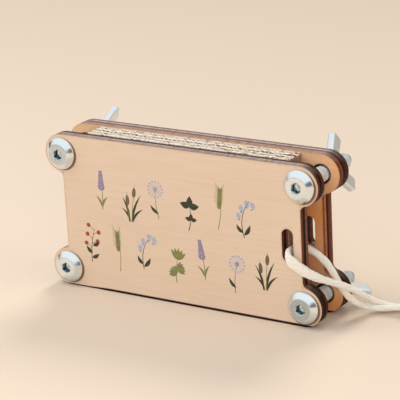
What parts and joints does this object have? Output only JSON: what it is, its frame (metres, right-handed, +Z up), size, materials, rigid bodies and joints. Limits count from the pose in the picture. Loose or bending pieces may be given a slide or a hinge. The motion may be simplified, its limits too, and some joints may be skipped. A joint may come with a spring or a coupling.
{
  "type": "flower press",
  "caption": "Small flower press: plywood boards clamped by bolts and wing nuts over a stack of blotting papers and corrugated cards, with a cotton hanging cord through a slot.",
  "frame": {"origin": "on the table, under the middle of the press without its cord", "axes": "+X along the boards towards the cord's end, +Y from the front board to the wing nuts, +Z up"},
  "size_m": [0.2364, 0.0553, 0.0877],
  "materials": {
    "front_plywood": "pale sanded plywood face, laser-burnt brown edges",
    "back_plywood": "pale sanded plywood face, laser-burnt brown edges",
    "zinc_bolt": "bright zinc plate, turned",
    "zinc_wing_nut": "bright zinc plate over a cast surface",
    "corrugated_card": "matt corrugated card",
    "blotting_paper": "matt cream-white blotting paper",
    "cotton_cord": "loosely twisted undyed cotton"
  },
  "bodies": {
    "frame": {"front_board": "front_plywood", "bolt_top_left": "zinc_bolt", "bolt_top_right": "zinc_bolt", "bolt_bottom_left": "zinc_bolt", "bolt_bottom_right": "zinc_bolt", "strap_front_strand": "cotton_cord", "strap_back_strand": "cotton_cord", "strap_knot": "cotton_cord"},
    "back_plate": {"back_board": "back_plywood"},
    "nut_top_right": {"wing_nut_top_right": "zinc_wing_nut"},
    "nut_top_left": {"wing_nut_top_left": "zinc_wing_nut"},
    "nut_bottom_left": {"wing_nut_bottom_left": "zinc_wing_nut"},
    "nut_bottom_right": {"wing_nut_bottom_right": "zinc_wing_nut"},
    "paper_1_sheet": {"paper_1": "blotting_paper"},
    "paper_2_sheet": {"paper_2": "blotting_paper"},
    "card_1_sheet": {"card_1": "corrugated_card"},
    "paper_3_sheet": {"paper_3": "blotting_paper"},
    "paper_4_sheet": {"paper_4": "blotting_paper"},
    "paper_5_sheet": {"paper_5": "blotting_paper"},
    "paper_6_sheet": {"paper_6": "blotting_paper"},
    "card_2_sheet": {"card_2": "corrugated_card"},
    "paper_7_sheet": {"paper_7": "blotting_paper"},
    "paper_8_sheet": {"paper_8": "blotting_paper"},
    "paper_9_sheet": {"paper_9": "blotting_paper"},
    "paper_10_sheet": {"paper_10": "blotting_paper"},
    "card_3_sheet": {"card_3": "corrugated_card"},
    "paper_11_sheet": {"paper_11": "blotting_paper"},
    "paper_12_sheet": {"paper_12": "blotting_paper"},
    "paper_13_sheet": {"paper_13": "blotting_paper"},
    "paper_14_sheet": {"paper_14": "blotting_paper"},
    "card_4_sheet": {"card_4": "corrugated_card"},
    "paper_15_sheet": {"paper_15": "blotting_paper"},
    "paper_16_sheet": {"paper_16": "blotting_paper"}
  },
  "joints": [
    {"name": "press_open", "type": "slide", "parent": "frame", "child": "back_plate", "axis": [0, 1, 0], "range_m": [0, 0.01]},
    {"name": "nut_turn_top_right", "type": "hinge", "parent": "back_plate", "child": "nut_top_right", "pos_m": [0.071, 0.01221, 0.07275], "axis": [0, 1, 0], "range_deg": [0, 2880.01]},
    {"name": "nut_turn_top_left", "type": "hinge", "parent": "back_plate", "child": "nut_top_left", "pos_m": [-0.071, 0.01221, 0.07275], "axis": [0, 1, 0], "range_deg": [0, 2880.01]},
    {"name": "nut_turn_bottom_left", "type": "hinge", "parent": "back_plate", "child": "nut_bottom_left", "pos_m": [-0.071, 0.01221, 0.01025], "axis": [0, 1, 0], "range_deg": [0, 2880.01]},
    {"name": "nut_turn_bottom_right", "type": "hinge", "parent": "back_plate", "child": "nut_bottom_right", "pos_m": [0.071, 0.01221, 0.01025], "axis": [0, 1, 0], "range_deg": [0, 2880.01]},
    {"name": "paper_1_fan", "type": "slide", "parent": "frame", "child": "paper_1_sheet", "axis": [0, 1, 0], "range_m": [0, 0.000486]},
    {"name": "paper_2_fan", "type": "slide", "parent": "frame", "child": "paper_2_sheet", "axis": [0, 1, 0], "range_m": [0, 0.000962]},
    {"name": "card_1_fan", "type": "slide", "parent": "frame", "child": "card_1_sheet", "axis": [0, 1, 0], "range_m": [0, 0.00144]},
    {"name": "paper_3_fan", "type": "slide", "parent": "frame", "child": "paper_3_sheet", "axis": [0, 1, 0], "range_m": [0, 0.00192]},
    {"name": "paper_4_fan", "type": "slide", "parent": "frame", "child": "paper_4_sheet", "axis": [0, 1, 0], "range_m": [0, 0.00239]},
    {"name": "paper_5_fan", "type": "slide", "parent": "frame", "child": "paper_5_sheet", "axis": [0, 1, 0], "range_m": [0, 0.00287]},
    {"name": "paper_6_fan", "type": "slide", "parent": "frame", "child": "paper_6_sheet", "axis": [0, 1, 0], "range_m": [0, 0.00334]},
    {"name": "card_2_fan", "type": "slide", "parent": "frame", "child": "card_2_sheet", "axis": [0, 1, 0], "range_m": [0, 0.00382]},
    {"name": "paper_7_fan", "type": "slide", "parent": "frame", "child": "paper_7_sheet", "axis": [0, 1, 0], "range_m": [0, 0.0043]},
    {"name": "paper_8_fan", "type": "slide", "parent": "frame", "child": "paper_8_sheet", "axis": [0, 1, 0], "range_m": [0, 0.00477]},
    {"name": "paper_9_fan", "type": "slide", "parent": "frame", "child": "paper_9_sheet", "axis": [0, 1, 0], "range_m": [0, 0.00525]},
    {"name": "paper_10_fan", "type": "slide", "parent": "frame", "child": "paper_10_sheet", "axis": [0, 1, 0], "range_m": [0, 0.00572]},
    {"name": "card_3_fan", "type": "slide", "parent": "frame", "child": "card_3_sheet", "axis": [0, 1, 0], "range_m": [0, 0.0062]},
    {"name": "paper_11_fan", "type": "slide", "parent": "frame", "child": "paper_11_sheet", "axis": [0, 1, 0], "range_m": [0, 0.00668]},
    {"name": "paper_12_fan", "type": "slide", "parent": "frame", "child": "paper_12_sheet", "axis": [0, 1, 0], "range_m": [0, 0.00715]},
    {"name": "paper_13_fan", "type": "slide", "parent": "frame", "child": "paper_13_sheet", "axis": [0, 1, 0], "range_m": [0, 0.00763]},
    {"name": "paper_14_fan", "type": "slide", "parent": "frame", "child": "paper_14_sheet", "axis": [0, 1, 0], "range_m": [0, 0.0081]},
    {"name": "card_4_fan", "type": "slide", "parent": "frame", "child": "card_4_sheet", "axis": [0, 1, 0], "range_m": [0, 0.00858]},
    {"name": "paper_15_fan", "type": "slide", "parent": "frame", "child": "paper_15_sheet", "axis": [0, 1, 0], "range_m": [0, 0.00906]},
    {"name": "paper_16_fan", "type": "slide", "parent": "frame", "child": "paper_16_sheet", "axis": [0, 1, 0], "range_m": [0, 0.00953]}
  ],
  "couplings": [
    {"joint": "nut_turn_top_right", "follows": "press_open", "rad_per_m": 5026.5},
    {"joint": "nut_turn_top_left", "follows": "press_open", "rad_per_m": 5026.5},
    {"joint": "nut_turn_bottom_left", "follows": "press_open", "rad_per_m": 5026.5},
    {"joint": "nut_turn_bottom_right", "follows": "press_open", "rad_per_m": 5026.5},
    {"joint": "paper_1_fan", "follows": "press_open", "ratio": 0.047619},
    {"joint": "paper_2_fan", "follows": "press_open", "ratio": 0.095238},
    {"joint": "card_1_fan", "follows": "press_open", "ratio": 0.14286},
    {"joint": "paper_3_fan", "follows": "press_open", "ratio": 0.19048},
    {"joint": "paper_4_fan", "follows": "press_open", "ratio": 0.2381},
    {"joint": "paper_5_fan", "follows": "press_open", "ratio": 0.28571},
    {"joint": "paper_6_fan", "follows": "press_open", "ratio": 0.33333},
    {"joint": "card_2_fan", "follows": "press_open", "ratio": 0.38095},
    {"joint": "paper_7_fan", "follows": "press_open", "ratio": 0.42857},
    {"joint": "paper_8_fan", "follows": "press_open", "ratio": 0.47619},
    {"joint": "paper_9_fan", "follows": "press_open", "ratio": 0.52381},
    {"joint": "paper_10_fan", "follows": "press_open", "ratio": 0.57143},
    {"joint": "card_3_fan", "follows": "press_open", "ratio": 0.61905},
    {"joint": "paper_11_fan", "follows": "press_open", "ratio": 0.66667},
    {"joint": "paper_12_fan", "follows": "press_open", "ratio": 0.71429},
    {"joint": "paper_13_fan", "follows": "press_open", "ratio": 0.7619},
    {"joint": "paper_14_fan", "follows": "press_open", "ratio": 0.80952},
    {"joint": "card_4_fan", "follows": "press_open", "ratio": 0.85714},
    {"joint": "paper_15_fan", "follows": "press_open", "ratio": 0.90476},
    {"joint": "paper_16_fan", "follows": "press_open", "ratio": 0.95238}
  ]
}
